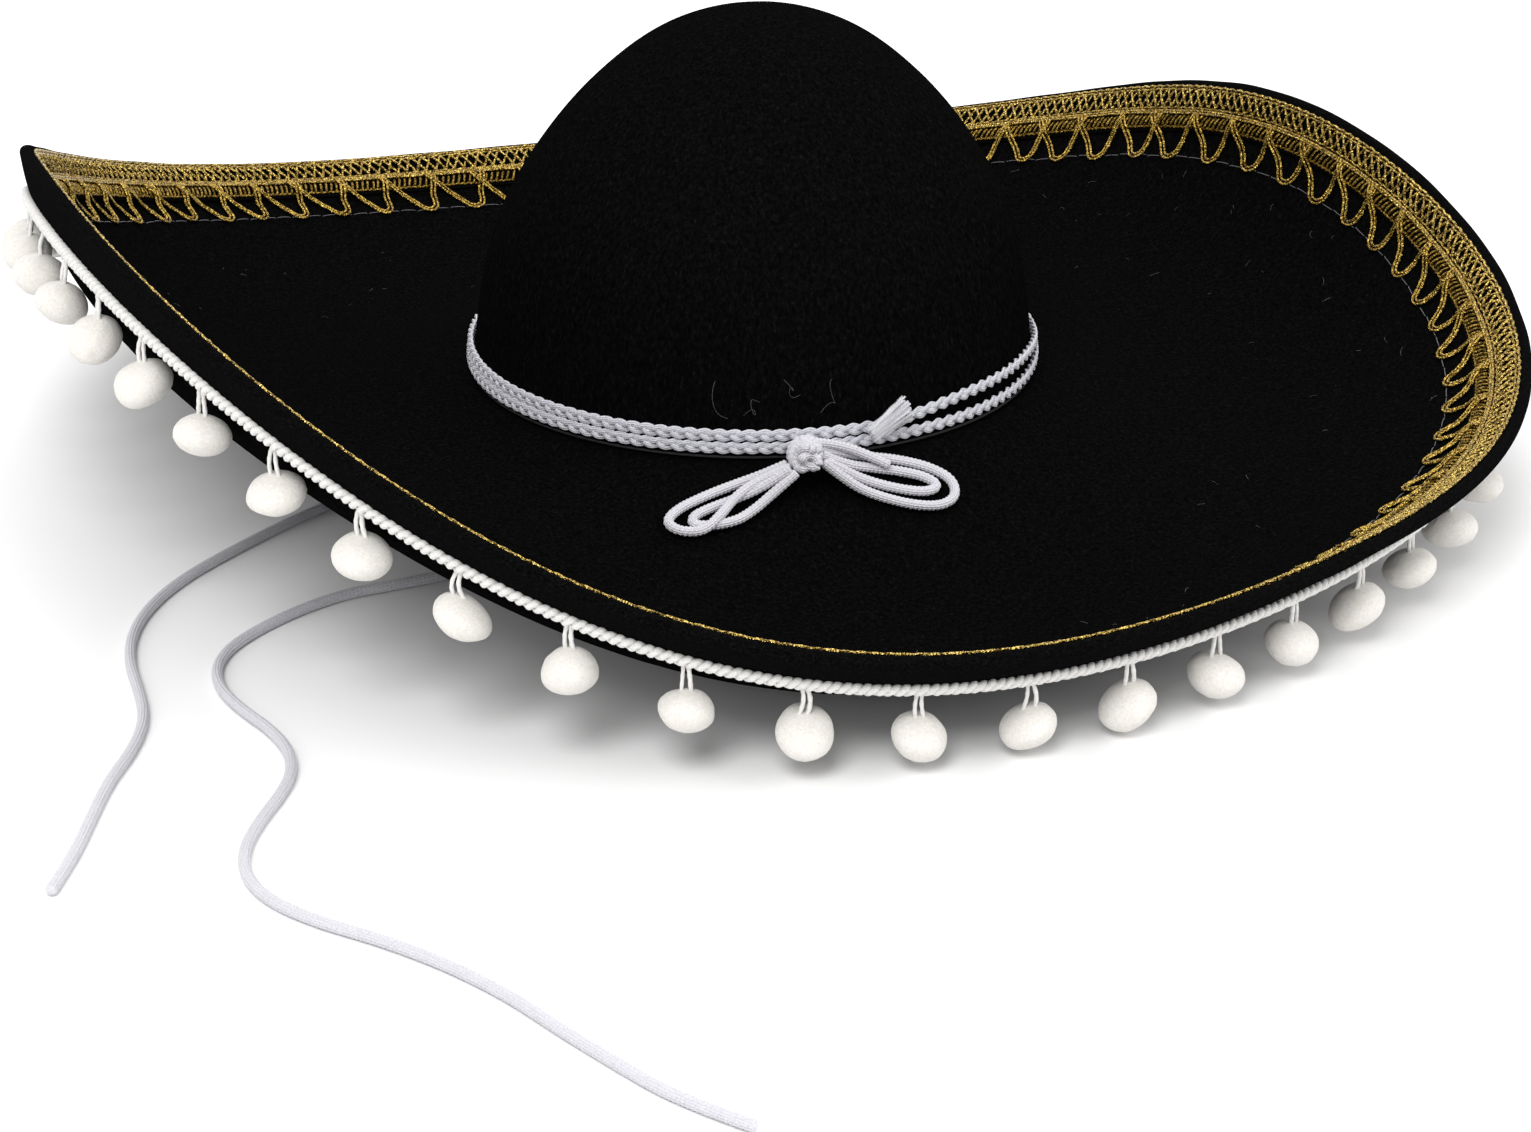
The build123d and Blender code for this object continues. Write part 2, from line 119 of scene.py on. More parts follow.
CHIN_CORD_LEFT = [
    (-82, -3, 31), (-83, -5.5, 20), (-86, -13, 10.5), (-90, -25.5, 4), (-97.5, -41, 1.6),
    (-108.5, -56, 1.6), (-123, -66, 1.6), (-140, -68, 1.6), (-157, -69, 1.6), (-173, -75.5, 1.6),
    (-188, -85, 1.6), (-199.5, -95.5, 1.6), (-206, -108, 1.6), (-207.5, -122, 1.6), (-205, -137, 1.6),
    (-201, -151, 1.6), (-199.5, -165, 1.6), (-202, -179, 1.6), (-208.5, -191, 1.6), (-217, -203, 1.6),
    (-225, -217, 1.6), (-228.5, -232, 1.6), (-226, -247, 1.6), (-217.5, -262, 1.6), (-205, -277, 1.6),
    (-193.5, -295, 1.6), (-184.5, -314, 1.6), (-178, -334, 1.6), (-171, -353, 1.6), (-163, -373, 1.6),
    (-151, -390, 1.6),
]


# ---- brim surface ----
def around(stations, angles):
    """Smooth closed curve through evenly spaced stations, read at angles in degrees."""
    count = len(stations)
    total = np.zeros_like(angles, float)
    for index, value in enumerate(stations):
        away = np.radians(angles - 360 * index / count)
        there = np.abs(np.sin(away / 2)) < 1e-9
        half = np.where(there, 1e-9, away / 2)
        kernel = np.sin(count * half) / (count * np.tan(half))
        total += value * np.where(there, 1.0, kernel)
    return total


TURN_STEPS = 1440
INWARD_STEP = 0.5
INWARDS = np.arange(-8.0, 182.0, INWARD_STEP)


def brim_tables():
    """r and z of the mid surface by angle and distance inwards from the rim, and the brim's width."""
    angles = np.arange(TURN_STEPS) * 360 / TURN_STEPS
    reach, height = around(RIM_REACH, angles), around(RIM_HEIGHT, angles)
    leave, arrive = np.radians(around(ROOT_SLOPE, angles)), np.radians(around(RIM_SLOPE, angles))
    chord = np.hypot(reach - HEAD_RADIUS, height - RING_HEIGHT)
    share = np.linspace(1, 0, 241)[None, :]
    weights = [(1 - share) ** 3, 3 * share * (1 - share) ** 2, 3 * share**2 * (1 - share), share**3]
    rs = [np.full_like(reach, HEAD_RADIUS), HEAD_RADIUS + ROOT_PULL * chord * np.cos(leave)]
    rs += [reach - RIM_PULL * chord * np.cos(arrive), reach]
    zs = [np.full_like(reach, RING_HEIGHT), RING_HEIGHT + ROOT_PULL * chord * np.sin(leave)]
    zs += [height - RIM_PULL * chord * np.sin(arrive), height]
    r = sum(w * p[:, None] for w, p in zip(weights, rs))
    z = sum(w * p[:, None] for w, p in zip(weights, zs))
    gone = np.concatenate(
        [np.zeros((len(angles), 1)), np.cumsum(np.hypot(np.diff(r), np.diff(z)), axis=1)], axis=1
    )
    table_r, table_z = [], []
    for k in range(len(angles)):
        row_r, row_z = np.interp(INWARDS, gone[k], r[k]), np.interp(INWARDS, gone[k], z[k])
        early, late = INWARDS < 0, INWARDS > gone[k, -1]
        row_r[early] += cos(arrive[k]) * -INWARDS[early]
        row_z[early] += sin(arrive[k]) * -INWARDS[early]
        row_r[late] -= cos(leave[k]) * (INWARDS[late] - gone[k, -1])
        row_z[late] -= sin(leave[k]) * (INWARDS[late] - gone[k, -1])
        table_r.append(row_r)
        table_z.append(row_z)
    return np.array(table_r), np.array(table_z), gone[:, -1]


TABLE_R, TABLE_Z, WIDTHS = brim_tables()


def table_rows(angles):
    """Rows of the tables on both sides of angles in degrees, and the share gone between them."""
    place = (np.asarray(angles, float) % 360) / 360 * TURN_STEPS
    low = place.astype(int) % TURN_STEPS
    return low, (low + 1) % TURN_STEPS, place - place.astype(int)


def brim_width(angles):
    """Width of the brim's felt at angles in degrees."""
    low, high, part = table_rows(angles)
    return WIDTHS[low] * (1 - part) + WIDTHS[high] * part


def mid_surface(angles, inwards):
    """r and z of the brim's mid surface at angles in degrees and distances inwards."""
    low, high, part = table_rows(angles)
    column = np.clip((np.asarray(inwards, float) - INWARDS[0]) / INWARD_STEP, 0, len(INWARDS) - 1.001)
    left = column.astype(int)
    rest = column - left

    def read(table):
        near = table[low, left] * (1 - rest) + table[low, left + 1] * rest
        far = table[high, left] * (1 - rest) + table[high, left + 1] * rest
        return near * (1 - part) + far * part

    return read(TABLE_R), read(TABLE_Z)


def on_felt(angles, inwards, above):
    """Points over the brim: inwards along the felt from the rim, above its mid surface."""
    angles, inwards, above = np.broadcast_arrays(angles, inwards, above)
    r, z = mid_surface(angles, inwards)
    r_out, z_out = mid_surface(angles, inwards - 0.6)
    r_in, z_in = mid_surface(angles, inwards + 0.6)
    along_r, along_z = r_out - r_in, z_out - z_in
    size = np.hypot(along_r, along_z)
    along_r, along_z = along_r / size, along_z / size
    r = r - along_z * above
    z = z + along_r * above
    turn = np.radians(angles)
    return np.stack([r * np.cos(turn), r * np.sin(turn), z], -1)


def length_along(path):
    """Length gone along a path at each of its points."""
    steps = np.linalg.norm(np.diff(path, axis=0), axis=1)
    return np.concatenate([[0], np.cumsum(steps)])


def evened(path, gone, count):
    """A path's points at evenly spaced lengths, and those lengths."""
    even = np.linspace(0, gone[-1], count)
    return np.stack([np.interp(even, gone, path[:, k]) for k in range(3)], -1), even


def rim_lengths():
    """Angles round the rim and the length gone at each, which ends with the whole length."""
    angles = np.arange(TURN_STEPS + 1) * 360 / TURN_STEPS
    return angles, length_along(on_felt(angles, 6.0, 0.0))


RIM_ANGLES, RIM_GONE = rim_lengths()
RIM_LENGTH = RIM_GONE[-1]


def rim_angle(lengths):
    """Angle at a length gone round the rim."""
    return np.interp(np.asarray(lengths) % RIM_LENGTH, RIM_GONE, RIM_ANGLES)


# ---- mesh helpers ----
def new_object(name, data):
    """A new object in the scene."""
    thing = bpy.data.objects.new(name, data)
    bpy.context.scene.collection.objects.link(thing)
    return thing


def piece(name, points, faces, material, smooth=True):
    """A mesh object from points in millimetres, riding on the hat's body."""
    mesh = bpy.data.meshes.new(name)
    mesh.from_pydata((np.asarray(points, float) * MM).tolist(), [], faces)
    mesh.validate()
    mesh.polygons.foreach_set("use_smooth", [smooth] * len(mesh.polygons))
    mesh.update()
    thing = new_object(name, mesh)
    mesh.materials.append(material)
    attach(thing, BODY)
    return thing


def grid_faces(rows, columns, close_rows=False, close_columns=False, start=0):
    """Quads of a grid of points, rows by columns, closed along either way."""
    i = np.arange(rows if close_rows else rows - 1)
    j = np.arange(columns if close_columns else columns - 1)
    a, b = np.meshgrid(i, j, indexing="ij")
    a2, b2 = (a + 1) % rows, (b + 1) % columns
    quads = np.stack([a * columns + b, a2 * columns + b, a2 * columns + b2, a * columns + b2], -1)
    return (quads.reshape(-1, 4) + start).tolist()


def rings_round(path, side, over, size, turn):
    """A ring of points round each point of a path, by size along two ways across it."""
    across = side[:, None, :] * (size * np.cos(turn))[..., None]
    return path[:, None, :] + across + over[:, None, :] * (size * np.sin(turn))[..., None]


class Threads:
    """Gathers tubes into one mesh."""

    def __init__(self):
        self.points, self.faces, self.count = [], [], 0

    def tube(self, path, radius, sides=6, closed=False, up=None, ridges=0, depth=0.0, twist=0.0):
        """A tube along a path. Ridges run along it, turning by twist radians a millimetre."""
        path = np.asarray(path, float)
        if closed:
            tangent = np.roll(path, -1, 0) - np.roll(path, 1, 0)
        else:
            tangent = np.gradient(path, axis=0)
        tangent /= np.linalg.norm(tangent, axis=1)[:, None] + 1e-12
        if up is None:
            up = carried_normal(path, tangent)
        side = np.cross(tangent, up)
        side /= np.linalg.norm(side, axis=1)[:, None] + 1e-12
        over = np.cross(side, tangent)
        gone = length_along(path)
        turn = np.arange(sides) * 2 * pi / sides
        size = np.broadcast_to(np.asarray(radius, float), (len(path),))[:, None]
        size = size * (1 + depth * np.cos(ridges * (turn[None, :] + twist * gone[:, None])))
        self.points.append(rings_round(path, side, over, size, turn).reshape(-1, 3))
        self.faces += grid_faces(len(path), sides, closed, True, self.count)
        if not closed:
            last = self.count + (len(path) - 1) * sides
            self.faces.append([self.count + k for k in range(sides)])
            self.faces.append([last + k for k in reversed(range(sides))])
        self.count += len(path) * sides

    def finish(self, name, material):
        """The gathered tubes as one mesh object."""
        return piece(name, np.concatenate(self.points), self.faces, material)


def carried_normal(path, tangent):
    """A normal carried along a path without twisting."""
    start = np.array([0.0, 0.0, 1.0])
    if abs(tangent[0] @ start) > 0.9:
        start = np.array([1.0, 0.0, 0.0])
    normals = np.empty_like(path)
    normal = start - tangent[0] * (start @ tangent[0])
    for k in range(len(path)):
        normal = normal - tangent[k] * (normal @ tangent[k])
        normal = normal / (np.linalg.norm(normal) + 1e-12)
        normals[k] = normal
    return normals


def spline_path(points, spacing=0.5):
    """Evenly spaced points along the smooth NURBS line through a route's control points."""
    curve = bpy.data.curves.new("route", "CURVE")
    curve.dimensions = "3D"
    curve.resolution_u = 24
    spline = curve.splines.new("NURBS")
    spline.points.add(len(points) - 1)
    for spot, point in zip(spline.points, points):
        spot.co = (*point, 1.0)
    spline.order_u = 3
    spline.use_endpoint_u = True
    thing = bpy.data.objects.new("route", curve)
    mesh = bpy.data.meshes.new_from_object(thing)
    line = np.array([v.co for v in mesh.vertices], float)
    bpy.data.objects.remove(thing)
    bpy.data.curves.remove(curve)
    bpy.data.meshes.remove(mesh)
    gone = length_along(line)
    return evened(line, gone, int(gone[-1] / spacing) + 1)[0]


# ---- materials ----
class Look:
    """A procedural material: a Principled shader, its sockets by name, with noise and bump."""

    def __init__(self, name, **sockets):
        self.material = bpy.data.materials.new(name)
        self.material.use_nodes = True
        self.nodes = self.material.node_tree.nodes
        self.links = self.material.node_tree.links
        self.shader = self.nodes["Principled BSDF"]
        for socket, value in sockets.items():
            self.shader.inputs[socket.replace("_", " ")].default_value = value
        self.place = self.nodes.new("ShaderNodeTexCoord").outputs["Object"]
        self.height = None

    def stretched(self, scale):
        """The object's own coordinates, scaled apart along each axis."""
        node = self.nodes.new("ShaderNodeMapping")
        node.inputs["Scale"].default_value = scale
        self.links.new(self.place, node.inputs["Vector"])
        return node.outputs["Vector"]

    def noise(self, scale, detail=4.0, rough=0.6, stretch=None):
        """Cloudy noise from 0 to 1, with scale features a metre."""
        node = self.nodes.new("ShaderNodeTexNoise")
        node.inputs["Scale"].default_value = scale
        node.inputs["Detail"].default_value = detail
        node.inputs["Roughness"].default_value = rough
        self.links.new(self.stretched(stretch) if stretch else self.place, node.inputs["Vector"])
        return node.outputs["Fac"]

    def cells(self, scale):
        """Distance to the nearest of many scattered points."""
        node = self.nodes.new("ShaderNodeTexVoronoi")
        node.inputs["Scale"].default_value = scale
        self.links.new(self.place, node.inputs["Vector"])
        return node.outputs["Distance"]

    def ramp(self, value, stops, socket="Base Color"):
        """Colours or numbers by a value, into a socket of the shader."""
        node = self.nodes.new("ShaderNodeValToRGB")
        node.color_ramp.elements[0].position = stops[0][0]
        node.color_ramp.elements[1].position = stops[-1][0]
        for extra in stops[1:-1]:
            node.color_ramp.elements.new(extra[0])
        for element, (_, colour) in zip(node.color_ramp.elements, stops):
            element.color = (*colour, 1.0) if hasattr(colour, "__len__") else (colour,) * 3 + (1.0,)
        self.links.new(value, node.inputs["Fac"])
        self.links.new(node.outputs["Color"], self.shader.inputs[socket])

    def bump(self, value, distance, strength=1.0):
        """Adds a height, in metres at full strength, on top of the earlier ones."""
        node = self.nodes.new("ShaderNodeBump")
        node.inputs["Distance"].default_value = distance
        node.inputs["Strength"].default_value = strength
        self.links.new(value, node.inputs["Height"])
        if self.height is not None:
            self.links.new(self.height, node.inputs["Normal"])
        self.height = node.outputs["Normal"]
        self.links.new(self.height, self.shader.inputs["Normal"])


FELT_SHEEN = {"Roughness": 0.95, "Sheen_Roughness": 0.5, "Specular_IOR_Level": 0.0}


def felt_look():
    """Matt black felt with faint pale fibres."""
    look = Look("black_felt", **FELT_SHEEN, Sheen_Weight=0.002, Sheen_Tint=(0.75, 0.73, 0.7, 1))
    fibres = look.noise(900, 8, 0.75, (1, 1, 0.45))
    look.ramp(fibres, [(0.38, 0.0010), (0.58, 0.0034), (0.78, 0.0135)])
    look.bump(look.noise(60, 3), 0.0006, 0.35)
    look.bump(fibres, 0.0005, 0.6)
    look.bump(look.noise(2600, 3, 0.8), 0.0002, 0.5)
    return look.material


def binding_look():
    """The thinner, fuzzier felt of the binding."""
    look = Look("black_felt_binding", **FELT_SHEEN, Sheen_Weight=0.004)
    fibres = look.noise(1400, 8, 0.8)
    look.ramp(fibres, [(0.4, 0.0010), (0.58, 0.0042), (0.76, 0.026)])
    look.bump(look.noise(160, 4), 0.0008, 0.5)
    look.bump(fibres, 0.0005, 0.8)
    return look.material


def gold_look(name, dark, light, roughness):
    """Metallic thread that glitters from many small facets. Its colour is mixed at random from the gold's own
    colour and painted shade in near-black patches.
    """
    look = Look(name, Metallic=1.0, Roughness=roughness)
    grain = look.noise(1500, 3, 0.7)
    # painted shade: this noise lays the near-black dark colour in patches among the gold's own light colour
    look.ramp(grain, [(0.42, dark), (0.6, light)])
    look.ramp(look.noise(900, 2), [(0.3, roughness - 0.1), (0.7, roughness + 0.2)], "Roughness")
    look.bump(look.cells(2200), 0.0004, 0.8)
    return look.material


def yarn_look(name, dark, light, roughness, grain=1800, sheen=0.25, lump=0.00025):
    """Plain yarn or tape between two colours, with a fibrous surface."""
    look = Look(name, Roughness=roughness, Sheen_Weight=sheen, Sheen_Roughness=0.4)
    fibres = look.noise(grain, 5, 0.7)
    look.ramp(fibres, [(0.3, dark), (0.7, light)])
    look.bump(fibres, lump, 0.6)
    return look.material


def film_look():
    """Thin crumpled film that light goes through."""
    look = Look("clear_film", Roughness=0.18, Alpha=0.35, Base_Color=(0.86, 0.86, 0.88, 1))
    look.bump(look.noise(320, 3), 0.0006, 0.5)
    return look.material


def steel_look(name, roughness):
    """Bare drawn metal."""
    look = Look(name, Metallic=1.0, Roughness=roughness, Base_Color=(0.55, 0.55, 0.56, 1))
    look.bump(look.noise(1200, 2), 0.00005, 0.4)
    return look.material


FELT_LOOK = felt_look()
BINDING_LOOK = binding_look()
# The first colour of each gold look is painted shade, near black. The second is the gold's own colour.
GOLD_GIMP = gold_look("gold_gimp_thread", (0.05, 0.028, 0.003), (0.82, 0.58, 0.16), 0.22)
GOLD_CORE = gold_look("gold_core_yarn", (0.035, 0.02, 0.002), (0.50, 0.32, 0.06), 0.36)
GOLD_LOOP = gold_look("gold_loop_thread", (0.06, 0.034, 0.003), (0.74, 0.50, 0.11), 0.24)
SATIN = yarn_look("white_satin_plait", (0.42, 0.42, 0.47), (0.74, 0.74, 0.79), 0.33, 2600)
KNITTED = yarn_look("white_knitted_cord", (0.46, 0.45, 0.49), (0.73, 0.72, 0.76), 0.45, 2600)
COTTON = yarn_look("white_fringe_yarn", (0.60, 0.59, 0.57), (0.80, 0.79, 0.77), 0.85, 1600)
POMPOM_LOOK = yarn_look("pompom_pile", (0.64, 0.61, 0.565), (0.80, 0.78, 0.74), 0.95, 1300, 0.3, 0.0004)
STITCH_LOOK = yarn_look("grey_stitch_thread", (0.05, 0.05, 0.06), (0.13, 0.13, 0.15), 0.6)
LINT_LOOK = yarn_look("lint_fibre", (0.03, 0.03, 0.028), (0.09, 0.085, 0.08), 0.7)
TAPE_LOOK = yarn_look("black_sweatband_tape", (0.003, 0.003, 0.0035), (0.010, 0.010, 0.011), 0.8, 1200, 0.02)
FILM_LOOK = film_look()
WIRE_LOOK = steel_look("steel_wire", 0.35)
FERRULE_LOOK = steel_look("crimped_ferrule", 0.3)


def degrees_from(middle, angles):
    """How far angles are from a middle, between -180 and 180 degrees."""
    return (angles - middle + 180) % 360 - 180


# ---- felt body ----
LEAN = (5.0, 6.5)  # how far the crown's top stands off its axis, along x and y
WAVER = 0.35
# Pinches: middle angle, half width in degrees, height over the base, half height, depth
PINCHES = [
    (256, 9, 66, 30, 2.6),
    (284, 16, 80, 24, 2.0),
    (228, 20, 92, 18, 1.6),
    (300, 12, 50, 22, 1.0),
    (205, 16, 45, 24, 0.9),
    (75, 14, 75, 26, 2.0),
    (20, 18, 60, 26, 1.2),
    (140, 16, 70, 30, 1.4),
]


def felt_waver(count, seed):
    """Slow random waves round the hat, so that the felt isn't a perfect revolve."""
    source = np.random.default_rng(seed)
    angles = np.arange(count) * 2 * pi / count
    waves = [(k, source.normal(), source.uniform(0, 2 * pi)) for k in range(2, 9)]
    return sum(size * np.sin(k * angles + phase) / k for k, size, phase in waves)


def crown_profile(rows):
    """r and z of the crown's outside from its base to its top."""
    heights = np.array([z for _, z in CROWN_OUTLINE] + [CROWN_ROUND[1], CROWN_TOP])
    heights[0] = CROWN_BASE
    radii = np.array([r for r, _ in CROWN_OUTLINE] + [CROWN_ROUND[0], 0.0])
    gone = np.concatenate([[0], np.cumsum(np.hypot(np.diff(radii), np.diff(heights)))])
    tangent_r, tangent_z = np.gradient(radii, gone), np.gradient(heights, gone)
    tangent_r[-1], tangent_z[-1] = -1.0, 0.0
    tangent_r[0], tangent_z[0] = -0.04, 1.0
    even = np.linspace(0, gone[-1], rows)
    k = np.clip(np.searchsorted(gone, even, side="right") - 1, 0, len(gone) - 2)
    span = gone[k + 1] - gone[k]
    t = (even - gone[k]) / span
    a, b, c, d = 2 * t**3 - 3 * t**2 + 1, t**3 - 2 * t**2 + t, 3 * t**2 - 2 * t**3, t**3 - t**2
    r = a * radii[k] + b * span * tangent_r[k] + c * radii[k + 1] + d * span * tangent_r[k + 1]
    z = a * heights[k] + b * span * tangent_z[k] + c * heights[k + 1] + d * span * tangent_z[k + 1]
    return np.maximum(r, 0.05), z


def crown_shell(inset):
    """Points of the crown's skin, inset by a thickness, with its lean and its soft pinches."""
    columns, rows = 360, 150
    r, z = crown_profile(rows)
    turn = np.arange(columns) * 2 * pi / columns
    high = np.clip(z / CROWN_TOP, 0, 1)
    wave = felt_waver(columns, 3)
    radius = np.maximum(r[:, None] - inset, 0.02) + WAVER * wave[None, :] * np.sin(pi * high)[:, None]
    for middle, width, height, tall, depth in PINCHES:
        beside = np.exp(-((degrees_from(middle, np.degrees(turn)) / width) ** 2))
        upward = np.exp(-(((z - height) / tall) ** 2))
        radius -= depth * beside[None, :] * upward[:, None]
    radius = np.maximum(radius, 0.02)
    lean = high**1.6
    x = radius * np.cos(turn) + LEAN[0] * lean[:, None]
    y = radius * np.sin(turn) + LEAN[1] * lean[:, None]
    depth = inset * np.clip((z - 70) / 40, 0, 1)
    height = np.broadcast_to((z - depth + RING_HEIGHT)[:, None], x.shape)
    return np.stack([x, y, height], -1)


def make_crown():
    """The crown as one shell of felt: its outside, its inside and the edge between them."""
    outer, inner = crown_shell(0.0), crown_shell(FELT)
    rows, columns = outer.shape[:2]
    points = np.concatenate([outer.reshape(-1, 3), inner.reshape(-1, 3)])
    faces = grid_faces(rows, columns, False, True)
    inside = grid_faces(rows, columns, False, True, rows * columns)
    faces += [face[::-1] for face in inside]
    for k in range(columns):
        n = (k + 1) % columns
        faces.append([k, k + rows * columns, n + rows * columns, n])
    top = (rows - 1) * columns
    faces.append([top + k for k in range(columns)])
    faces.append([top + rows * columns + k for k in reversed(range(columns))])
    crown = piece("felt_crown", points, [face[::-1] for face in faces], FELT_LOOK)
    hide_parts("crown")


def strip_ring(stations, columns):
    """Rings of points round the rim, one for each station of (inwards, above)."""
    angles = np.arange(columns) * 360 / columns
    rings = [on_felt(angles, inwards, above) for inwards, above in stations]
    return np.stack(rings, 0)


def make_brim():
    """The brim's felt, with a slow ripple between the crown and the rim."""
    columns = 1080
    angles = np.arange(columns) * 360 / columns
    across = np.linspace(0, 1, 110)
    ripple = 0.25 * felt_waver(columns, 11)
    over, under = [], []
    for share in across:
        inwards = share * brim_width(angles)
        swell = ripple * sin(pi * share)
        over.append(on_felt(angles, inwards, FELT / 2 + swell))
        under.append(on_felt(angles, inwards, -FELT / 2 + swell))
    rings = np.stack(over + under[::-1], 0)
    rings[..., 2] = np.maximum(rings[..., 2], 0.0)
    faces = grid_faces(len(rings), columns, True, True)
    brim = piece("felt_brim", rings.reshape(-1, 3), faces, FELT_LOOK)
    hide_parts("brim")


def make_binding():
    """The folded strip, rolled softly over the wire, its lower edge slightly wavy."""
    columns = 1800
    inner, outer = FELT / 2 + GAP, FELT / 2 + GAP + BINDING
    source = np.random.default_rng(5)
    turn = np.arange(columns) * 2 * pi / columns
    waver = sum(source.normal() * np.sin(k * turn + source.uniform(0, 6.28)) for k in range(9, 60)) / 9
    stations = []
    for share in np.linspace(1, 0, 14):
        stations.append((share * BINDING_TOP - (1 - share) * WIRE_OVERHANG, inner))
    for step in range(1, 12):
        bend = pi / 2 - pi * step / 12
        stations.append((-WIRE_OVERHANG - inner * cos(bend), inner * sin(bend)))
    for share in np.linspace(0, 1, 14):
        stations.append((share * BINDING_UNDER - (1 - share) * WIRE_OVERHANG, -inner))
    for share in np.linspace(1, 0, 26):
        plump = 0.22 * waver * sin(pi * share)
        stations.append((share * BINDING_UNDER - (1 - share) * WIRE_OVERHANG, -outer - plump))
    for step in range(1, 18):
        bend = -pi / 2 + pi * step / 18
        swell = outer + 0.12 * waver * cos(bend)
        stations.append((-WIRE_OVERHANG - swell * cos(bend), swell * sin(bend)))
    for share in np.linspace(0, 1, 14):
        stations.append((share * BINDING_TOP - (1 - share) * WIRE_OVERHANG, outer))
    rings = strip_ring(stations, columns)
    faces = grid_faces(len(stations), columns, True, True)
    binding = piece("felt_binding", rings.reshape(-1, 3), faces, BINDING_LOOK)
    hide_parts("rim_binding")


# ---- gold braid ----
OUTER_PITCH = 3.9
RUNG_PITCH = 2.25
LOOP_PITCH = 19.5
LOOP_STITCH_PITCH = 7.2
GIMP = 0.46  # radius of a gold thread
# The outer stitches: where one starts and ends, inwards from the rim, and how high it rises
OUTER_STITCHES = ((-0.5, 7.3, 0.55), (7.2, -0.4, 0.95))
OUTER_EDGES = ((-0.9, 2.8), (0.3, 2.9), (7.2, 2.6))  # inwards, above
MIDDLE_LINE = (8.8, 2.95)
RUNG_SPAN = (9.9, 14.4)
RUNG_EDGE = (14.5, 2.5)
LOOP_TIPS = 25.6
# A loop's line: share of the pitch along the rim, distance inwards, height over the mid surface
LOOP_LINE = [
    (0.10, 9.6, 3.5),
    (0.13, 12.2, 3.9),
    (0.19, 15.2, 3.2),
    (0.25, 18.4, 1.95),
    (0.28, 21.8, 1.75),
    (0.33, 24.4, 1.75),
    (0.46, 25.9, 1.8),
    (0.60, 25.2, 1.8),
    (0.69, 22.8, 1.75),
    (0.80, 19.8, 1.8),
    (0.92, 17.2, 2.3),
    (1.06, 14.2, 3.5),
    (1.16, 11.2, 3.7),
    (1.20, 9.2, 3.4),
]


def on_rim(lengths, inwards, above):
    """Points by length round the rim, distance inwards and height above the mid surface."""
    return on_felt(rim_angle(lengths), inwards, above)


def arch(steps):
    """Heights of a stitch that rises from the cloth and goes back into it."""
    return np.sin(np.linspace(0, pi, steps)) ** 0.6


def make_outer_chain():
    """Crossed stitches between lines of gold thread, over the rim and beside it."""
    threads = Threads()
    count = int(RIM_LENGTH / OUTER_PITCH)
    pitch = RIM_LENGTH / count
    steps = 9
    rise = arch(steps)
    for k in range(count):
        start = k * pitch + rng.normal(0, 0.12)
        for near, far, lift in OUTER_STITCHES:
            length = start + np.linspace(-2.2, 2.2, steps) + rng.normal(0, 0.1)
            inwards = np.linspace(near, far, steps) + rng.normal(0, 0.12)
            line = on_rim(length, inwards, 2.35 + lift * rise)
            threads.tube(line, 0.50 + rng.normal(0, 0.03), 7, ridges=3, depth=0.12, twist=2.4)
    gimp = threads.finish("gold_outer_stitches", GOLD_GIMP)
    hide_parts("braid_outer_chain")
    edge = Threads()
    lengths = np.arange(0, RIM_LENGTH, 0.9)
    for inwards, above in OUTER_EDGES:
        sway = 0.22 * np.sin(2 * pi * lengths / pitch)
        line = on_rim(lengths, inwards + sway, above)
        edge.tube(line, GIMP, 7, closed=True, ridges=3, depth=0.14, twist=2.0)
    cord = edge.finish("gold_outer_edges", GOLD_GIMP)


def make_braid_core():
    """The plain line along the middle of the braid, of two threads side by side."""
    threads = Threads()
    middle, above = MIDDLE_LINE
    lengths = np.arange(0, RIM_LENGTH, 0.7)
    for side in (-0.42, 0.42):
        sway = 0.10 * np.sin(lengths / 7.0) + 0.05 * np.sin(lengths / 2.3)
        line = on_rim(lengths, middle + side + sway, above)
        threads.tube(line, 0.52, 8, closed=True, ridges=2, depth=0.10, twist=1.6)
    core = threads.finish("gold_middle_line", GOLD_GIMP)
    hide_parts("braid_core")


def make_inner_chain():
    """Short parallel rungs that slant across the inner half of the braid."""
    threads = Threads()
    count = int(RIM_LENGTH / RUNG_PITCH)
    pitch = RIM_LENGTH / count
    steps = 8
    rise = arch(steps)
    for k in range(count):
        start = k * pitch + rng.normal(0, 0.1)
        length = start + np.linspace(-1.0, 1.1, steps)
        inwards = np.linspace(*RUNG_SPAN, steps) + rng.normal(0, 0.15)
        line = on_rim(length, inwards, 2.3 + 0.75 * rise)
        threads.tube(line, GIMP, 7, ridges=3, depth=0.12, twist=2.4)
    lengths = np.arange(0, RIM_LENGTH, 0.8)
    sway = 0.28 * np.sin(2 * pi * lengths / pitch)
    line = on_rim(lengths, RUNG_EDGE[0] + sway, RUNG_EDGE[1])
    threads.tube(line, 0.40, 7, closed=True, ridges=3, depth=0.1, twist=2.0)
    chain = threads.finish("gold_inner_rungs", GOLD_CORE)
    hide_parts("braid_inner_chain")


def smooth_line(spots, count):
    """Catmull-Rom line through spots."""
    spots = np.asarray(spots, float)
    ends = np.concatenate([[2 * spots[0] - spots[1]], spots, [2 * spots[-1] - spots[-2]]])
    u = np.linspace(0, len(spots) - 1 - 1e-6, count)
    k = u.astype(int)
    t = (u - k)[:, None]
    a, b, c, d = ends[k], ends[k + 1], ends[k + 2], ends[k + 3]
    return 0.5 * (2 * b + (c - a) * t + (2 * a - 5 * b + 4 * c - d) * t**2 + (3 * b - a - 3 * c + d) * t**3)


